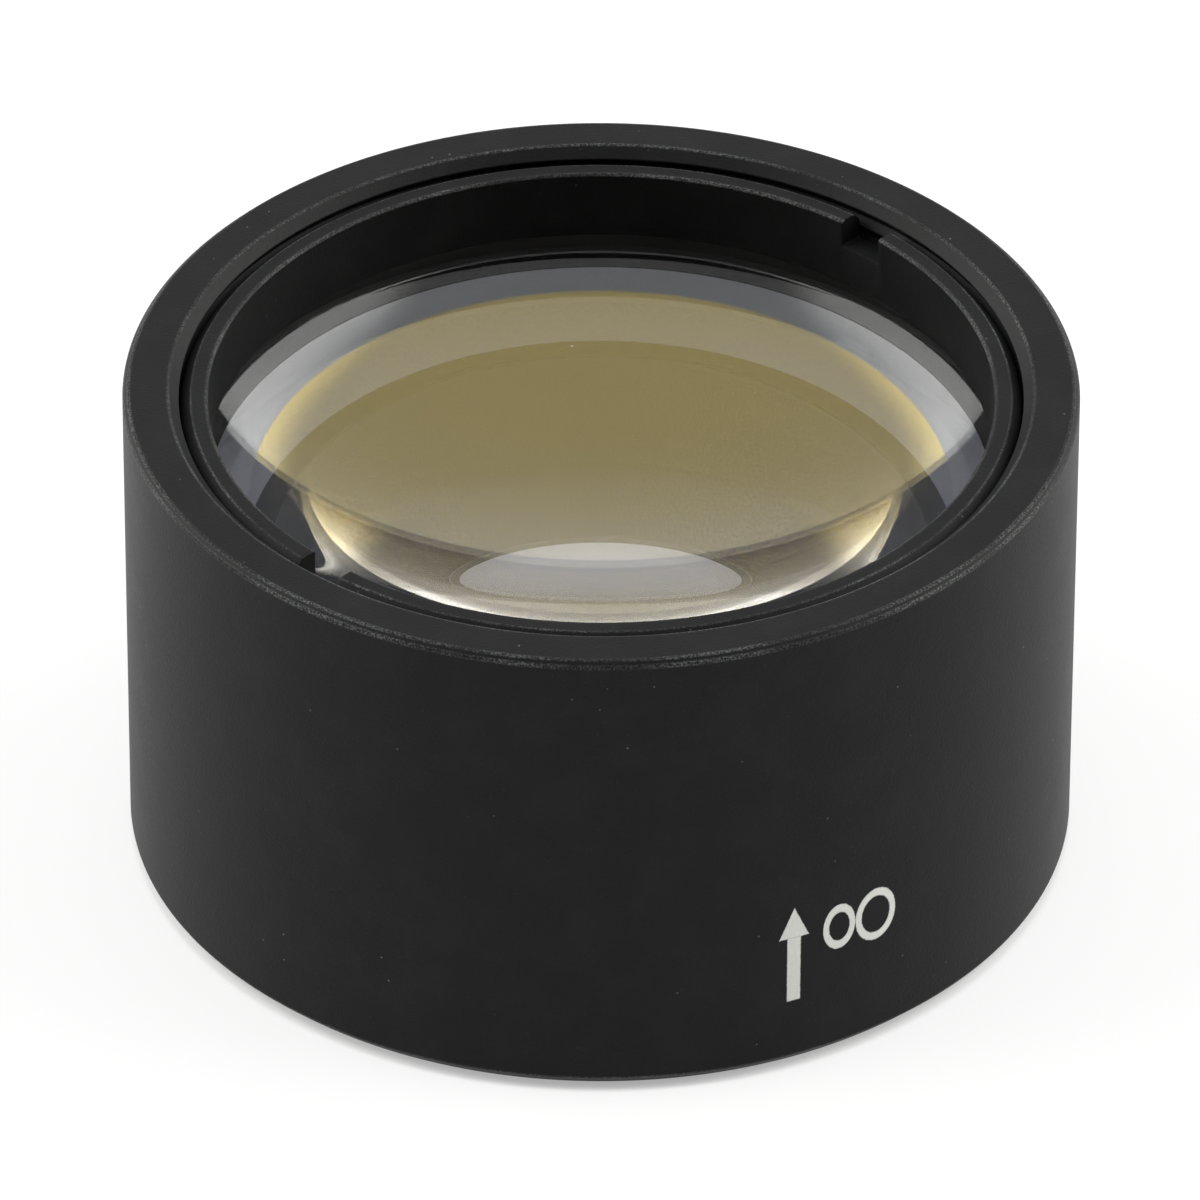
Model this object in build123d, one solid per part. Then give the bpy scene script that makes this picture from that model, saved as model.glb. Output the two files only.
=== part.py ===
from build123d import *
from math import sqrt
import os

# Air-spaced achromatic doublet in its one-inch cell, in millimetres
# +Z is the optical axis, pointing to the retaining ring, and the cell stands on z = 0
# A curved surface is (apex height, radius): a radius above 0 is a dome, one below 0 is a bowl

# Cell body
body_diameter = 25.4
mouth_wall = 1.51
seat_height = 5.31
seat_width = 2.6
rear_aperture_chamfer = 0.3
top_edge_chamfer = 0.15
bottom_edge_chamfer = 0.4
mouth_chamfer = 0.3
ring_recess = 0.28

# Relief groove under the ring's thread, which is kept plain at its crests
thread_relief_width = 0.6
thread_relief_depth = 0.3

# Glass elements
lens_bevel = 0.15
front_crown_radius = 95.0
front_back_radius = 33.7
front_thickness = 4.5
rear_hollow_radius = 34.2
rear_back_radius = 470.0
rear_thickness = 2.3
air_gap = 0.12

# Spacer between the elements
spacer_width = 0.65

# Retaining ring
ring_width = 0.72
ring_height = 1.98
ring_lead_chamfer = 0.25
ring_edge_break = 0.06
slot_width = 1.3
slot_depth = 0.8
slot_azimuth = 48.0

# Clearances
lens_entry_gap = 0.09
lens_bore_gap = 0.03
ring_thread_gap = 0.04
seat_gap = 0.01

# Radii that the pieces share
body_radius = body_diameter / 2
thread_radius = body_radius - mouth_wall
lens_radius = thread_radius - lens_entry_gap
aperture_radius = lens_radius - seat_width
ring_outer_radius = thread_radius - ring_thread_gap
ring_inner_radius = ring_outer_radius - ring_width


# Height of a curved surface at a distance from the axis
def height_on(surface, distance):
    apex, radius = surface
    sag = abs(radius) - sqrt(radius**2 - distance**2)
    return apex - sag if radius > 0 else apex + sag


# Solid turned from a closed half section
def turned(outline):
    with BuildPart() as solid:
        with BuildSketch(Plane.XZ):
            with BuildLine():
                outline()
            make_face()
        revolve(axis=Axis.Z)
    return solid.part


# Arc of a curved surface between two distances from the axis, lifted by a small amount
def surface_arc(surface, start, end, lift=0.0):
    points = [(r, height_on(surface, r) + lift) for r in (start, (start + end) / 2, end)]
    return ThreePointArc(*points)


# Glass element with polished faces, a ground rim and a bevel at each edge
def glass_element(upper, lower):
    rim = lens_radius
    edge = rim - lens_bevel
    top, bottom = height_on(upper, edge), height_on(lower, edge)

    def outline():
        surface_arc(upper, 0, edge)
        Polyline((edge, top), (rim, top - lens_bevel), (rim, bottom + lens_bevel), (edge, bottom))
        surface_arc(lower, edge, 0)
        Line((0, lower[0]), (0, upper[0]))

    return turned(outline)


# Thin conical washer that follows the two curved faces it parts
def spacer_ring(upper, lower):
    outer = lens_radius - lens_bevel
    inner = outer - spacer_width

    def outline():
        top = surface_arc(upper, inner, outer, -seat_gap)
        bottom = surface_arc(lower, inner, outer, seat_gap)
        Line(top @ 0, bottom @ 0)
        Line(top @ 1, bottom @ 1)

    return turned(outline)


# Turned body with the seat ledge, the lens bore, the relief groove, the threaded mouth and the rear recess
def lens_housing(height, ring_bottom):
    outer, thread, aperture = body_radius, thread_radius, aperture_radius
    bore = lens_radius + lens_bore_gap
    relief = thread + thread_relief_depth
    relief_bottom = ring_bottom - thread_relief_width

    def outline():
        Polyline(
            (aperture + rear_aperture_chamfer, 0),
            (outer - bottom_edge_chamfer, 0),
            (outer, bottom_edge_chamfer),
            (outer, height - top_edge_chamfer),
            (outer - top_edge_chamfer, height),
            (thread + mouth_chamfer, height),
            (thread, height - mouth_chamfer),
            (thread, ring_bottom),
            (relief, ring_bottom),
            (relief, relief_bottom),
            (bore, relief_bottom),
            (bore, seat_height),
            (aperture, seat_height),
            (aperture, rear_aperture_chamfer),
            close=True,
        )

    return turned(outline)


# Ring that holds the stack down, with a lead chamfer at each end and two slots for a spanner wrench
def retaining_ring(ring_bottom):
    inner, outer = ring_inner_radius, ring_outer_radius
    top = ring_bottom + ring_height

    def outline():
        Polyline(
            (inner, ring_bottom),
            (outer - ring_lead_chamfer, ring_bottom),
            (outer, ring_bottom + ring_lead_chamfer),
            (outer, top - ring_lead_chamfer),
            (outer - ring_lead_chamfer, top),
            (inner + ring_edge_break, top),
            (inner, top - ring_edge_break),
            close=True,
        )

    slots = Box(body_diameter, slot_width, 2 * slot_depth)
    return turned(outline) - Pos(0, 0, top) * Rot(0, 0, slot_azimuth) * slots


# The stack is built up from the ledge that carries the rear element
rear_back_sag = height_on((0, -rear_back_radius), aperture_radius)
rear_back = (seat_height + seat_gap - rear_back_sag, -rear_back_radius)
rear_hollow = (rear_back[0] + rear_thickness, -rear_hollow_radius)
front_back = (rear_hollow[0] + air_gap, -front_back_radius)
front_crown = (front_back[0] + front_thickness, front_crown_radius)
ring_bottom = height_on(front_crown, ring_inner_radius) + seat_gap
body_height = ring_bottom + ring_height + ring_recess

pieces = {
    "lens_housing": lens_housing(body_height, ring_bottom),
    "retaining_ring": retaining_ring(ring_bottom),
    "front_lens": glass_element(front_crown, front_back),
    "spacer_ring": spacer_ring(front_back, rear_hollow),
    "rear_lens": glass_element(rear_hollow, rear_back),
}
os.makedirs("parts", exist_ok=True)
for name, piece in pieces.items():
    export_step(piece, f"parts/{name}.step")
print("body height", round(body_height, 3))
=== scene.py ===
import math
import bpy
from mathutils import Matrix, Vector


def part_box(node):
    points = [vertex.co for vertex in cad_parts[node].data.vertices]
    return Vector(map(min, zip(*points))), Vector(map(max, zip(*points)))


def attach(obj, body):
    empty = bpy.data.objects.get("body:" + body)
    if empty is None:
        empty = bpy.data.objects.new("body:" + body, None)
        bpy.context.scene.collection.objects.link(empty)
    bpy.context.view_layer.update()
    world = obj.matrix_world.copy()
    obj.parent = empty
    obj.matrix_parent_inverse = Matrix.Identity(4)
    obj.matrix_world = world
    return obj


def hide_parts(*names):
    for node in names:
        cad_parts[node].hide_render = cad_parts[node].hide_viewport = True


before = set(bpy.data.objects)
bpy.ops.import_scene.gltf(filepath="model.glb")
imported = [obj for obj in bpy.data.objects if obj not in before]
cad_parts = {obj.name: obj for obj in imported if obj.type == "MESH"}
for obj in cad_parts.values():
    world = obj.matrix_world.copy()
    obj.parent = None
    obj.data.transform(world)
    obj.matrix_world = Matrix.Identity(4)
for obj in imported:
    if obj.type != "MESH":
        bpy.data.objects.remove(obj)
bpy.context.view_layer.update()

mm = 0.001
turnSteps = 256          # facets round every turned piece


# One output of a shader node, so that sums on values read as sums
class Wire:
    def __init__(self, finish, socket):
        self.finish = finish
        self.socket = socket

    def maths(self, operation, *values):
        return self.finish.node("ShaderNodeMath", {"operation": operation}, dict(enumerate(values)))

    def __add__(self, other):
        return self.maths("ADD", self, other)

    def __radd__(self, other):
        return self.maths("ADD", other, self)

    def __sub__(self, other):
        return self.maths("SUBTRACT", self, other)

    def __rsub__(self, other):
        return self.maths("SUBTRACT", other, self)

    def __mul__(self, other):
        return self.maths("MULTIPLY", self, other)

    def __rmul__(self, other):
        return self.maths("MULTIPLY", other, self)

    def __truediv__(self, other):
        return self.maths("DIVIDE", self, other)

    def __gt__(self, other):
        return self.maths("GREATER_THAN", self, other)

    def __abs__(self):
        return self.maths("ABSOLUTE", self)

    def root(self):
        return self.maths("SQRT", self)

    def most(self, other):
        return self.maths("MAXIMUM", self, other)

    # 0 below low, 1 above high, smooth between
    def rise(self, low, high):
        inputs = {"Value": self, "From Min": low, "From Max": high}
        return self.finish.node("ShaderNodeMapRange", {"interpolation_type": "SMOOTHSTEP"}, inputs)

    # 1 within half a width of the middle, soft over the edge
    def band(self, middle, half, edge):
        return 1 - abs(self - middle).rise(half - edge / 2, half + edge / 2)


# The node tree of one material or world
class Finish:
    def __init__(self, owner):
        owner.use_nodes = True
        self.owner = owner
        self.tree = owner.node_tree
        self.tree.nodes.clear()

    def node(self, kind, settings=None, inputs=None, output=0):
        made = self.tree.nodes.new(kind)
        for name, value in (settings or {}).items():
            setattr(made, name, value)
        for name, value in (inputs or {}).items():
            self.fill(made.inputs[name], value)
        return Wire(self, made.outputs[output])

    def fill(self, place, value):
        if isinstance(value, Wire):
            self.tree.links.new(value.socket, place)
        elif place.type == "RGBA":
            place.default_value = (*value, 1.0)
        else:
            place.default_value = value

    # Place on the object in millimetres
    def place(self):
        where = self.node("ShaderNodeTexCoord", output="Object")
        return self.node("ShaderNodeVectorMath", {"operation": "SCALE"}, {"Vector": where, "Scale": 1 / mm})

    def split(self, vector):
        return [self.node("ShaderNodeSeparateXYZ", inputs={"Vector": vector}, output=axis) for axis in "XYZ"]

    # Distance from the axis, height, and the angle round from the front
    def roundPlace(self, place):
        x, y, z = self.split(place)
        return (x * x + y * y).root(), z, x.maths("ARCTAN2", x, 0 - y)

    def noise(self, place, size, detail=2.0, roughness=0.5):
        inputs = {"Vector": place, "Scale": 1 / size, "Detail": detail, "Roughness": roughness}
        return self.node("ShaderNodeTexNoise", inputs=inputs)

    # Round dots of one radius, one to a cell of the spacing
    def specks(self, place, spacing, radius):
        away = self.node("ShaderNodeTexVoronoi", inputs={"Vector": place, "Scale": 1 / spacing})
        return 1 - away.rise(radius / spacing * 0.5, radius / spacing)

    def blend(self, share, first, second):
        inputs = {"Factor": share, 6: first, 7: second}
        return self.node("ShaderNodeMix", {"data_type": "RGBA"}, inputs, output=2)

    def bump(self, height, strength, distance):
        inputs = {"Height": height, "Strength": strength, "Distance": distance * mm}
        return self.node("ShaderNodeBump", inputs=inputs)

    # 1 where the camera looks, straight or by glass and gloss
    def seen(self):
        kinds = ("Is Camera Ray", "Is Glossy Ray", "Is Transmission Ray")
        straight, mirrored, through = [self.node("ShaderNodeLightPath", output=kind) for kind in kinds]
        return straight.most(mirrored).most(through)

    def surface(self, shader, kind="ShaderNodeOutputMaterial"):
        output = self.tree.nodes.new(kind)
        self.fill(output.inputs["Surface"], shader)
        return self.owner


# A half section drawn in the XZ plane, point by point, then turned about the Z axis
class Outline:
    def __init__(self, name, radius, height):
        bpy.ops.object.select_all(action="DESELECT")
        bpy.ops.mesh.primitive_plane_add(size=mm)
        self.piece = bpy.context.object
        self.piece.name = name
        self.piece.data.name = name
        bpy.ops.object.mode_set(mode="EDIT")
        bpy.ops.mesh.select_all(action="SELECT")
        bpy.ops.mesh.merge(type="CENTER")
        bpy.ops.transform.translate(value=(radius * mm, 0, height * mm))
        self.radius = radius
        self.height = height

    def line(self, radius, height):
        step = ((radius - self.radius) * mm, 0, (height - self.height) * mm)
        bpy.ops.mesh.extrude_vertices_move(TRANSFORM_OT_translate={"value": step})
        self.radius = radius
        self.height = height

    def lines(self, *points):
        for radius, height in points:
            self.line(radius, height)

    # Arc along a polished face, which is (apex height, radius) with a dome above 0 and a bowl below 0
    def arc(self, face, radius, steps):
        apex, curve = face
        angle = math.asin(radius / curve) - math.asin(self.radius / curve)
        bpy.ops.mesh.spin(steps=steps, angle=-angle, center=(0, 0, (apex - curve) * mm), axis=(0, 1, 0))
        self.radius = radius
        self.height = heightOn(face, radius)

    def turn(self, sharpAngle=30.0):
        bpy.ops.mesh.select_all(action="SELECT")
        bpy.ops.mesh.spin(steps=turnSteps, angle=2 * math.pi, center=(0, 0, 0), axis=(0, 0, 1))
        bpy.ops.mesh.select_all(action="SELECT")
        bpy.ops.mesh.remove_doubles(threshold=0.0005 * mm)
        bpy.ops.mesh.normals_make_consistent(inside=False)
        bpy.ops.object.mode_set(mode="OBJECT")
        bpy.ops.object.shade_smooth_by_angle(angle=math.radians(sharpAngle))
        return self.piece


# Height of a polished face at a distance from the axis
def heightOn(face, radius):
    apex, curve = face
    sag = abs(curve) - math.sqrt(curve ** 2 - radius ** 2)
    return apex - math.copysign(sag, curve)


# Small rounds on every corner of a turned piece
def roundCorners(piece, width, segments=2):
    bpy.context.view_layer.objects.active = piece
    bevel = piece.modifiers.new("corner rounds", "BEVEL")
    bevel.width = width * mm
    bevel.segments = segments
    bevel.limit_method = "ANGLE"
    bevel.angle_limit = math.radians(32)   # leaves the facets of the round alone
    bpy.ops.object.modifier_apply(modifier=bevel.name)
    bpy.ops.object.shade_smooth_by_angle(angle=math.radians(40))


# Rides on the only body and stands for a node of the frame
def seat(piece, node, slotName, *finishes):
    for finish in finishes:
        piece.data.materials.append(finish)
    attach(piece, "root")
    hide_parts(node)
    print(piece.name, "made,", len(piece.data.polygons), "faces")


# Sizes of the cell body, in millimetres; its outside comes from the frame
cellLow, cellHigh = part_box("lens_housing")
cell = {
    "radius": (cellHigh.x - cellLow.x) / 2 / mm,
    "height": cellHigh.z / mm,
    "thread": 11.19,            # crest radius of the thread in the mouth
    "bore": 11.13,
    "aperture": 8.5,            # rear opening
    "seat": 5.31,               # height of the ledge under the glass
    "topChamfer": 0.15,
    "bottomChamfer": 0.4,
    "mouthChamfer": 0.3,
    "rearChamfer": 0.3,
    "reliefWidth": 0.6,
    "reliefDepth": 0.3,
    "threadPitch": 0.5,
    "threadDepth": 0.2,
    "cornerRound": 0.035,
}

# The frame's own ring gives the level at which the thread ends
ringBottom, ringTop = [corner.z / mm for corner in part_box("retaining_ring")]
print("ring from", round(ringBottom, 3), "to", round(ringTop, 3), "body height", round(cell["height"], 3))

# How the black anodised metal looks
anodise = {
    "deep": (0.0052, 0.0056, 0.0055),
    "worn": (0.0080, 0.0086, 0.0084),
    "dust": (0.20, 0.20, 0.19),
    "edge": (0.105, 0.110, 0.107),
    # painted reflection: brighter colour on the bore wall under the seat, standing for the white floor that
    # this wall mirrors
    "bore": (0.045, 0.042, 0.038),
    "etched": (0.60, 0.60, 0.57),
    "roughness": 0.47,
    "insideRoughness": 0.5,     # ring and spacer
    "sheen": 0.12,
    "grainSize": 0.085,         # bead-blast pits
    "grainDepth": 0.016,
    "mottleSize": 1.6,
    "dustSpacing": 0.62,
    "dustRadius": 0.035,
    "dustShare": 0.55,
    "lintSize": 2.4,            # patches in which dust settles
    "fleckSize": 0.06,
    "fleckShare": 0.10,
    "scuffSize": 0.055,         # wear along the edges, in patches
    "patchSize": 3.1,
    "patchLeast": 0.35,
}


# Wear along circles that are given as (radius, height, width)
def edgeWear(finish, place, radius, height, edges):
    bare = 0.0
    for edgeRadius, edgeHeight, width in edges:
        across = radius - edgeRadius
        above = height - edgeHeight
        away = (across * across + above * above).root()
        bare = (1 - away.rise(width * 0.4, width)) + bare
    scuff = finish.noise(place, anodise["scuffSize"], 3.0, 0.8).rise(0.42, 0.66)
    patch = finish.noise(place, anodise["patchSize"], 2.0).rise(0.36, 0.62)
    return bare * scuff * (anodise["patchLeast"] + (1 - anodise["patchLeast"]) * patch)


# Bead-blasted, black anodised metal, worn brighter along its edges
def blackMetal(name, edges, roughness, marks=None, glossAndPaintedReflectionBore=0.0):
    finish = Finish(bpy.data.materials.new(name))
    place = finish.place()
    radius, height, angle = finish.roundPlace(place)
    grain = finish.noise(place, anodise["grainSize"], 3.0, 0.6)
    mottle = finish.noise(place, anodise["mottleSize"], 4.0, 0.6)
    colour = finish.blend(mottle.rise(0.35, 0.75), anodise["deep"], anodise["worn"])
    dust = finish.specks(place, anodise["dustSpacing"], anodise["dustRadius"])
    lint = finish.noise(place, anodise["lintSize"], 1.0).rise(0.42, 0.6)
    fleck = finish.noise(place, anodise["fleckSize"], 2.0, 0.7).rise(0.62, 0.8)
    colour = finish.blend(dust * lint * anodise["dustShare"], colour, anodise["dust"])
    colour = finish.blend(fleck * anodise["fleckShare"], colour, anodise["dust"])
    if edges:
        colour = finish.blend(edgeWear(finish, place, radius, height, edges), colour, anodise["edge"])
    gloss = roughness + 0.10 * (mottle - 0.5) + 0.12 * (grain - 0.5)
    # Inside the bore under the seat the metal is smoother, and its colour is painted brighter as a painted
    # reflection of the white floor
    if glossAndPaintedReflectionBore:
        underSeat = 1 - height.rise(cell["seat"] - 0.11, cell["seat"] - 0.01)
        bore = (1 - radius.rise(glossAndPaintedReflectionBore, glossAndPaintedReflectionBore + 0.01)) * underSeat
        colour = finish.blend(bore, colour, anodise["bore"])
        gloss = gloss - 0.15 * bore
    if marks:
        etched = marks(finish, place, radius, height, angle)
        chalky = 0.86 + 0.14 * finish.noise(place, 0.09)
        colour = finish.blend(etched * chalky, colour, anodise["etched"])
        gloss = gloss + 0.2 * etched
    normal = finish.bump(grain, 0.55, anodise["grainDepth"])
    inputs = {"Base Color": colour, "Roughness": gloss, "Normal": normal}
    inputs["Specular IOR Level"] = anodise["sheen"]
    return finish.surface(finish.node("ShaderNodeBsdfPrincipled", inputs=inputs))


# Arrow and infinity sign etched on the wall, which show the side that faces the far field
signs = {
    "stroke": 0.105,            # half the width of a line
    "soft": 0.035,
    "ringSoft": 0.07,           # the same for the rings, as a share of their size
    "raggedSize": 0.05,
    "ragged": 0.05,
    "shaft": (5.26, 2.20, 4.25, 0.19),      # middle along the wall, foot, top, half width
    "head": (5.26, 4.25, 5.21, 0.425),      # middle along the wall, foot, tip, half width
    "rings": (                              # middle along the wall, level, half width, half height
        (6.60, 4.18, 0.40, 0.585),
        (7.74, 4.14, 0.545, 0.705),
    ),
}


def etchedSigns(finish, place, radius, height, angle):
    ragged = (finish.noise(place, signs["raggedSize"], 2.0, 0.7) - 0.5) * signs["ragged"]
    along = angle * cell["radius"] + ragged
    up = height + ragged
    soft = signs["soft"]
    middle, foot, top, half = signs["shaft"]
    drawn = along.band(middle, half, soft) * up.band((foot + top) / 2, (top - foot) / 2, soft)
    middle, foot, tip, half = signs["head"]
    slope = (tip - up) * (half / (tip - foot))
    inHead = (slope - abs(along - middle)).rise(-soft / 2, soft / 2)
    drawn = drawn.most(inHead * up.rise(foot - soft / 2, foot + soft / 2))
    for middle, level, halfWidth, halfHeight in signs["rings"]:
        across = (along - middle) / halfWidth
        rise = (up - level) / halfHeight
        away = (across * across + rise * rise).root()
        halfStroke = signs["stroke"] / math.sqrt(halfWidth * halfHeight)
        drawn = drawn.most(away.band(1.0, halfStroke, signs["ringSoft"]))
    onOuterWall = radius > cell["radius"] - 0.1
    return drawn * onOuterWall


# Cell body, turned with the thread in its mouth
outline = Outline("cell_body", cell["aperture"] + cell["rearChamfer"], 0)
outline.lines(
    (cell["radius"] - cell["bottomChamfer"], 0),
    (cell["radius"], cell["bottomChamfer"]),
    (cell["radius"], cell["height"] - cell["topChamfer"]),
    (cell["radius"] - cell["topChamfer"], cell["height"]),
    (cell["thread"] + cell["mouthChamfer"], cell["height"]),
    (cell["thread"], cell["height"] - cell["mouthChamfer"]),
)
level = cell["height"] - cell["mouthChamfer"]
while level - cell["threadPitch"] > ringBottom:
    outline.line(cell["thread"] + cell["threadDepth"], level - cell["threadPitch"] / 2)
    level -= cell["threadPitch"]
    outline.line(cell["thread"], level)
outline.lines(
    (cell["thread"], ringBottom),
    (cell["thread"] + cell["reliefDepth"], ringBottom),
    (cell["thread"] + cell["reliefDepth"], ringBottom - cell["reliefWidth"]),
    (cell["bore"], ringBottom - cell["reliefWidth"]),
    (cell["bore"], cell["seat"]),
    (cell["aperture"], cell["seat"]),
    (cell["aperture"], cell["rearChamfer"]),
    (cell["aperture"] + cell["rearChamfer"], 0),
)
cellBody = outline.turn()
roundCorners(cellBody, cell["cornerRound"])
cellEdges = [
    (cell["radius"], cell["height"] - cell["topChamfer"], 0.10),
    (cell["radius"] - cell["topChamfer"], cell["height"], 0.08),
    (cell["thread"] + cell["mouthChamfer"], cell["height"], 0.07),
    (cell["radius"], cell["bottomChamfer"], 0.07),
]
# Radius out to which the bore under the seat gets smoother metal and a painted reflection
glossAndPaintedReflectionBore = cell["aperture"] + 0.05
cellFinish = blackMetal("cell black anodise", cellEdges, anodise["roughness"], etchedSigns, glossAndPaintedReflectionBore)
seat(cellBody, "lens_housing", "cell_black", cellFinish)

# Retaining ring with its thread and the two slots for a spanner wrench
ring = {
    "outer": 11.15,
    "inner": 10.43,
    "leadChamfer": 0.25,
    "edgeBreak": 0.06,
    "slotWidth": 1.3,
    "slotDepth": 0.8,
    "slotAngle": 48.0,
    "slotReach": 2.4,           # length of the cutter, in outer radii
    "threadDepth": 0.18,
    "cornerRound": 0.02,
}
outline = Outline("slotted_ring", ring["inner"], ringBottom)
outline.lines(
    (ring["outer"] - ring["leadChamfer"], ringBottom),
    (ring["outer"], ringBottom + ring["leadChamfer"]),
)
level = ringBottom + ring["leadChamfer"]
while level + cell["threadPitch"] < ringTop - ring["leadChamfer"]:
    outline.line(ring["outer"] - ring["threadDepth"], level + cell["threadPitch"] / 2)
    level += cell["threadPitch"]
    outline.line(ring["outer"], level)
outline.lines(
    (ring["outer"], ringTop - ring["leadChamfer"]),
    (ring["outer"] - ring["leadChamfer"], ringTop),
    (ring["inner"] + ring["edgeBreak"], ringTop),
    (ring["inner"], ringTop - ring["edgeBreak"]),
    (ring["inner"], ringBottom),
)
slottedRing = outline.turn()

bpy.ops.object.select_all(action="DESELECT")
bpy.ops.mesh.primitive_cube_add(size=mm)
slotCutter = bpy.context.object
slotCutter.scale = (ring["slotReach"] * ring["outer"], ring["slotWidth"], 2 * ring["slotDepth"])
slotCutter.location = (0, 0, ringTop * mm)
slotCutter.rotation_euler = (0, 0, math.radians(ring["slotAngle"]))
bpy.ops.object.select_all(action="DESELECT")
bpy.context.view_layer.objects.active = slottedRing
cut = slottedRing.modifiers.new("spanner slots", "BOOLEAN")
cut.object = slotCutter
cut.operation = "DIFFERENCE"
cut.solver = "EXACT"
bpy.ops.object.modifier_apply(modifier=cut.name)
bpy.data.objects.remove(slotCutter)
roundCorners(slottedRing, ring["cornerRound"])
ringEdges = [
    (ring["inner"] + 0.03, ringTop, 0.10),
    (ring["outer"] - ring["leadChamfer"], ringTop, 0.05),
]
ringFinish = blackMetal("ring black anodise", ringEdges, anodise["insideRoughness"])
seat(slottedRing, "retaining_ring", "ring_black", ringFinish)

# The two glass elements: apex to apex thicknesses and the radii of their polished faces
glass = {
    "rim": 11.1,
    "bevel": 0.15,
    "frontCrown": 95.0,
    "frontBack": 33.7,
    "frontThickness": 4.5,
    "rearHollow": 34.2,
    "rearThickness": 2.3,
    "rearBack": 470.0,
    "groundRadius": 9.15,       # where the ground land round the rear face begins
    "frontIndex": 1.434,
    "rearIndex": 1.4585,
    "arcSteps": 56,             # over the polished face
    "landSteps": 12,            # over the land outside it
}

# The frame's own pieces give the heights; a polished face is (apex height, radius)
rearBack = (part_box("rear_lens")[0].z / mm, -glass["rearBack"])
rearHollow = (rearBack[0] + glass["rearThickness"], -glass["rearHollow"])
frontCrown = (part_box("front_lens")[1].z / mm, glass["frontCrown"])
frontBack = (frontCrown[0] - glass["frontThickness"], -glass["frontBack"])

# Spacer between the elements
spacer = {"outer": glass["rim"] - glass["bevel"], "width": 0.65, "gap": 0.01}
spacer["inner"] = spacer["outer"] - spacer["width"]
outline = Outline("spacer_washer", spacer["inner"], heightOn(rearHollow, spacer["inner"]) + spacer["gap"])
outline.lines(
    (spacer["outer"], heightOn(rearHollow, spacer["outer"]) + spacer["gap"]),
    (spacer["outer"], heightOn(frontBack, spacer["outer"]) - spacer["gap"]),
    (spacer["inner"], heightOn(frontBack, spacer["inner"]) - spacer["gap"]),
    (spacer["inner"], heightOn(rearHollow, spacer["inner"]) + spacer["gap"]),
)
spacerFinish = blackMetal("spacer black anodise", [], anodise["insideRoughness"])
seat(outline.turn(), "spacer_ring", "spacer_black", spacerFinish)


# Glass element: upper polished face, ground rim with two bevels, lower polished face
def element(name, upper, lower):
    rim, bevel, land = glass["rim"], glass["bevel"], glass["groundRadius"]
    edge = rim - bevel
    outline = Outline(name, 0, upper[0])
    outline.arc(upper, land, glass["arcSteps"])
    outline.arc(upper, edge, glass["landSteps"])
    outline.line(rim, heightOn(upper, edge) - bevel)
    outline.line(rim, heightOn(lower, edge) + bevel)
    outline.line(edge, heightOn(lower, edge))
    outline.arc(lower, land, glass["landSteps"])
    outline.arc(lower, 0, glass["arcSteps"])
    return outline.turn()


# Warm film on the two inner faces
film = {
    "radius": 9.23,             # the film stops short of the rim
    "tint": (1.0, 0.80, 0.20),
    "fresnel": (0.9, 0.6, 0.0),
    "through": (0.96, 0.96, 1.0),
    "share": 0.072,
    "uneven": 0.10,
    "unevenSize": 3.5,
}

# Settled dust: spacing and radius of its specks, then the size and range of the patches it lies in
lensDust = {
    "colour": (0.75, 0.74, 0.70),
    "roughness": 0.9,
    "fine": (0.55, 0.028, 1.7, 0.40, 0.65),
    "large": (1.9, 0.05, 2.9, 0.48, 0.60),
    "onFront": 0.30,
    "onRear": 0.25,
}


# Polished glass with settled dust; inside the coated radius a film mirrors warm light
def polished(name, ior, fresnelTint, filmShare, dustShare):
    finish = Finish(bpy.data.materials.new(name))
    place = finish.place()
    plainInputs = {"Base Color": (1.0, 1.0, 1.0), "Roughness": 0.0, "IOR": ior, "Transmission Weight": 1.0}
    face = finish.node("ShaderNodeBsdfPrincipled", inputs={**plainInputs, "Specular Tint": fresnelTint})
    if filmShare:
        radius = finish.roundPlace(place)[0]
        glassUnderFilm = {**plainInputs, "Specular Tint": film["fresnel"], "Base Color": film["through"]}
        under = finish.node("ShaderNodeBsdfPrincipled", inputs=glassUnderFilm)
        mirrorInputs = {"Base Color": film["tint"], "Roughness": 0.0, "Metallic": 1.0}
        mirror = finish.node("ShaderNodeBsdfPrincipled", inputs=mirrorInputs)
        cloud = finish.noise(place, film["unevenSize"], 2.0)
        share = filmShare * (1 - film["uneven"] / 2 + film["uneven"] * cloud)
        coated = finish.node("ShaderNodeMixShader", inputs={0: share, 1: under, 2: mirror})
        inside = 1 - radius.rise(film["radius"] - 0.02, film["radius"] + 0.02)
        face = finish.node("ShaderNodeMixShader", inputs={0: inside, 1: face, 2: coated})
    dustInputs = {"Base Color": lensDust["colour"], "Roughness": lensDust["roughness"]}
    dusty = finish.node("ShaderNodeBsdfPrincipled", inputs=dustInputs)
    settled = 0.0
    for spacing, size, patchSize, low, high in (lensDust["fine"], lensDust["large"]):
        layer = finish.specks(place, spacing, size) * finish.noise(place, patchSize, 1.0).rise(low, high)
        settled = layer.most(settled)
    dustyFace = finish.node("ShaderNodeMixShader", inputs={0: settled * dustShare, 1: face, 2: dusty})
    return finish.surface(dustyFace)


# Grain of the ground glass
grit = {"size": 0.09, "strength": 0.25, "depth": 0.01}


# Ground glass, or the black paint over it
def ground(name, dark, light, roughness):
    finish = Finish(bpy.data.materials.new(name))
    place = finish.place()
    grain = finish.noise(place, grit["size"], 3.0, 0.6)
    colour = finish.blend(grain, dark, light)
    normal = finish.bump(grain, grit["strength"], grit["depth"])
    inputs = {"Base Color": colour, "Roughness": roughness, "Normal": normal}
    return finish.surface(finish.node("ShaderNodeBsdfPrincipled", inputs=inputs))


# Gives each face of an element its finish: 0 upper, 1 lower, 2 rim, 3 ground land from a radius outwards
def shareFinishes(piece, landFrom):
    for face in piece.data.polygons:
        centre = face.center / mm
        distance = math.hypot(centre.x, centre.y)
        if distance > glass["rim"] - glass["bevel"]:
            face.material_index = 2
        elif face.normal.z > 0:
            face.material_index = 0
        else:
            face.material_index = 3 if distance > landFrom else 1


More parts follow.
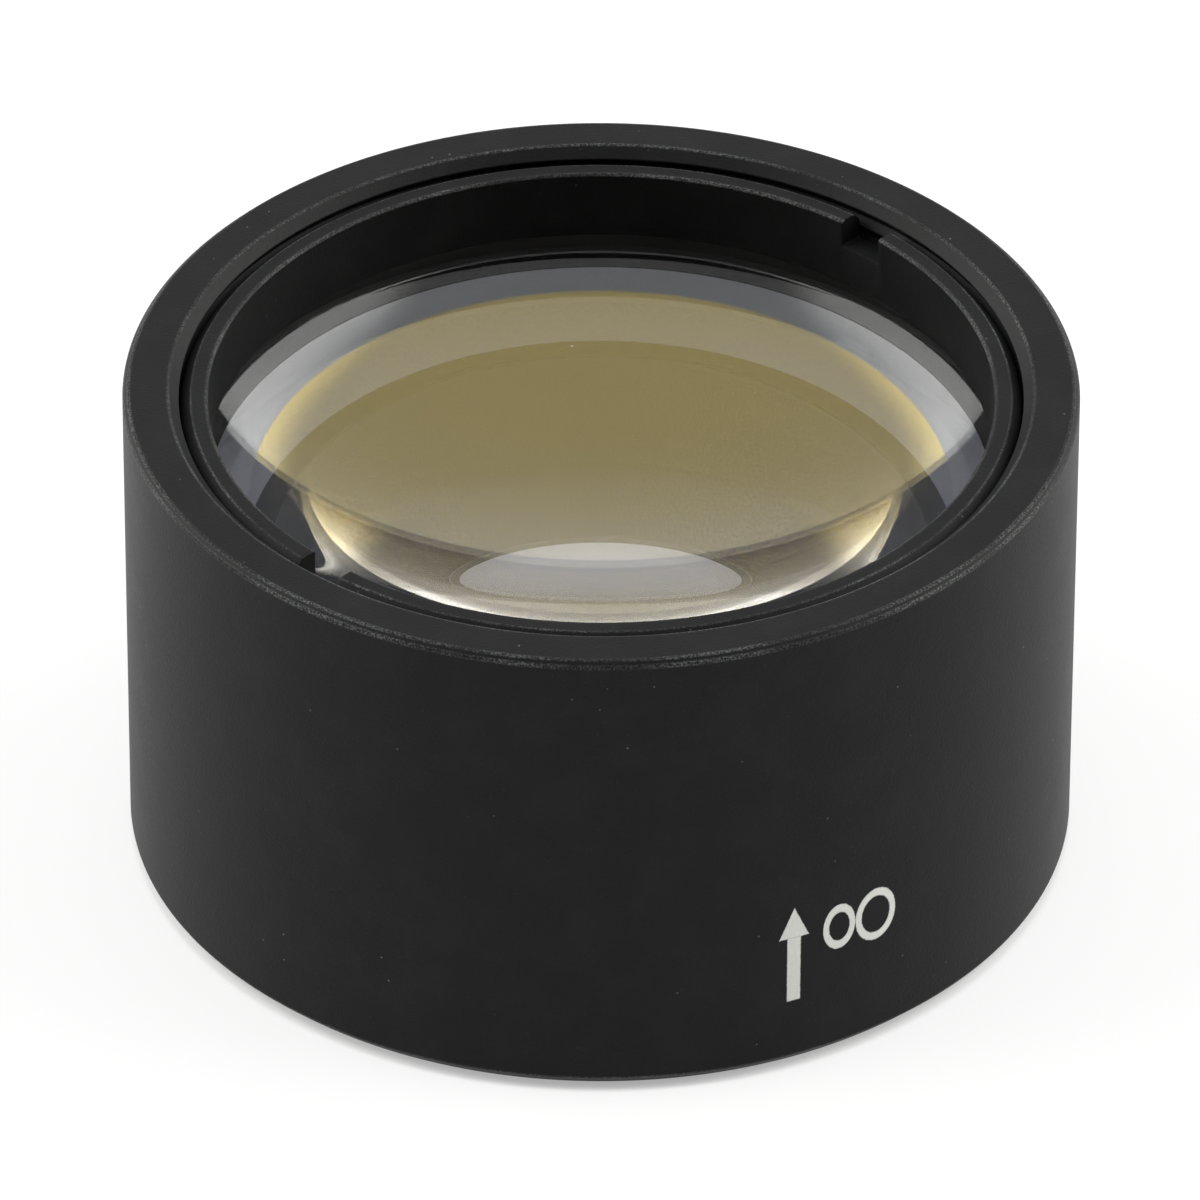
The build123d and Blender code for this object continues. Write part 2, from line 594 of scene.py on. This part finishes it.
antiReflex = (0.25, 0.28, 0.35)     # tint of what the outer faces mirror
bareGlass = (1.0, 1.0, 1.0)
blackPaint = ((0.004, 0.004, 0.004), (0.010, 0.010, 0.010), 0.6)    # dark, light, roughness
groundWhite = ((0.40, 0.42, 0.45), (0.56, 0.58, 0.62), 0.8)
frontElement = element("front_element", frontCrown, frontBack)
shareFinishes(frontElement, glass["rim"])   # no ground land on the front element
seat(
    frontElement, "front_lens", "front_glass",
    polished("front glass outer face", glass["frontIndex"], antiReflex, 0.0, lensDust["onFront"]),
    polished("front glass inner face", glass["frontIndex"], bareGlass, film["share"], 0.0),
    ground("front rim", *blackPaint),
)
rearElement = element("rear_element", rearHollow, rearBack)
shareFinishes(rearElement, glass["groundRadius"])
seat(
    rearElement, "rear_lens", "rear_glass",
    polished("rear glass inner face", glass["rearIndex"], bareGlass, film["share"], 0.0),
    polished("rear glass outer face", glass["rearIndex"], antiReflex, 0.0, lensDust["onRear"]),
    ground("rear rim", *groundWhite),
    ground("rear land", *groundWhite),
)

# White table, which the camera and the glass see as white paper with the shadow of the cell
table = {
    "size": 4.0,
    "drop": 0.00002,            # below the base, so that the two don't share a plane
    "white": (0.90, 0.90, 0.90),
    "shade": 0.985,
    "glow": 0.7,
    "paintedLightUnderCell": 0.35,          # painted light: the floor under the cell glows less, standing for the dimmer light that reaches it through the lens
    "glowEdge": (12.6, 12.8),
}
bpy.ops.object.select_all(action="DESELECT")
bpy.ops.mesh.primitive_plane_add(size=table["size"], location=(0, 0, -table["drop"]))
tableTop = bpy.context.object
tableTop.name = "table_top"
finish = Finish(bpy.data.materials.new("table white"))
paper = finish.noise(finish.place(), 6.0, 3.0)
paperColour = finish.blend(paper, table["white"], tuple(table["shade"] * c for c in table["white"]))
tableInputs = {"Base Color": paperColour, "Roughness": 0.9, "Specular IOR Level": 0.0}
lit = finish.node("ShaderNodeBsdfPrincipled", inputs=tableInputs)
white = finish.node("ShaderNodeEmission", inputs={"Color": (1.0, 1.0, 1.0), "Strength": 1.0})
outside = finish.roundPlace(finish.place())[0].rise(*table["glowEdge"])
# Painted light: under the cell the glow is lower, a painted pool of light that is seen through the lens
glow = table["paintedLightUnderCell"] + outside * (table["glow"] - table["paintedLightUnderCell"])
paperMix = finish.node("ShaderNodeMixShader", inputs={0: finish.seen() * glow, 1: lit, 2: white})
tableTop.data.materials.append(finish.surface(paperMix))
print("table made")

# Room: bright overhead and behind, dim in front, a large soft box on each side, white for the camera itself
# A pair gives the start and end of a soft edge, upwards or towards the back
room = {
    "front": (0.15, 0.15, 0.15),
    "back": (1.0, 1.0, 1.0),
    "backEdge": (-0.25, 0.1),
    "high": (1.05, 1.05, 1.05),
    "highEdge": (0.60, 0.85),
    "box": (4.6, 4.6, 4.5),
    "boxSide": 1.24,            # slant of the edge between back and box
    "boxUp": 0.63,
    "boxSoft": 0.16,
    "boxFoot": (-0.02, 0.12),
    "boxTop": (0.84, 0.92),
    "boxFront": (-0.35, -0.15),
}
bpy.context.scene.world = bpy.data.worlds.new("soft room")
finish = Finish(bpy.context.scene.world)
direction = finish.node("ShaderNodeTexCoord", output="Generated")
side, back, up = finish.split(direction)
sky = finish.blend(back.rise(*room["backEdge"]), room["front"], room["back"])
sky = finish.blend(up.rise(*room["highEdge"]), sky, room["high"])
slant = abs(side) * room["boxSide"] - back - up * room["boxUp"]
inBox = slant.rise(-room["boxSoft"], room["boxSoft"]) * up.rise(*room["boxFoot"])
inBox = inBox * (1 - up.rise(*room["boxTop"])) * back.rise(*room["boxFront"])
sky = finish.blend(inBox, sky, room["box"])
lit = finish.node("ShaderNodeBackground", inputs={"Color": sky, "Strength": 1.0})
plain = finish.node("ShaderNodeBackground", inputs={"Color": (1.0, 1.0, 1.0), "Strength": 1.0})
straight = finish.node("ShaderNodeLightPath", output="Is Camera Ray")
skyMix = finish.node("ShaderNodeMixShader", inputs={0: straight, 1: lit, 2: plain})
finish.surface(skyMix, "ShaderNodeOutputWorld")
print("room lit")

# Camera where the photographer stood, looking down at 35 degrees with a long lens
camera = {
    "place": (0.0, -0.31045, 0.22768),
    "lens": 426.45,
    "sensor": 36,
    "pitch": 35.4273,
    "yaw": 0.0027,
    "roll": 0.185,
}
bpy.ops.object.camera_add(location=camera["place"])
viewer = bpy.context.object
viewer.name = "photographer"
turned = Matrix.Rotation(math.radians(camera["yaw"]), 4, "Z")
tilted = Matrix.Rotation(math.radians(90 - camera["pitch"]), 4, "X")
rolled = Matrix.Rotation(math.radians(camera["roll"]), 4, "Z")
viewer.matrix_world = Matrix.Translation(camera["place"]) @ turned @ tilted @ rolled
viewer.data.sensor_width = camera["sensor"]
viewer.data.lens = camera["lens"]
viewer.data.clip_start = 0.01
bpy.context.scene.camera = viewer
bpy.context.scene.view_settings.view_transform = "Standard"
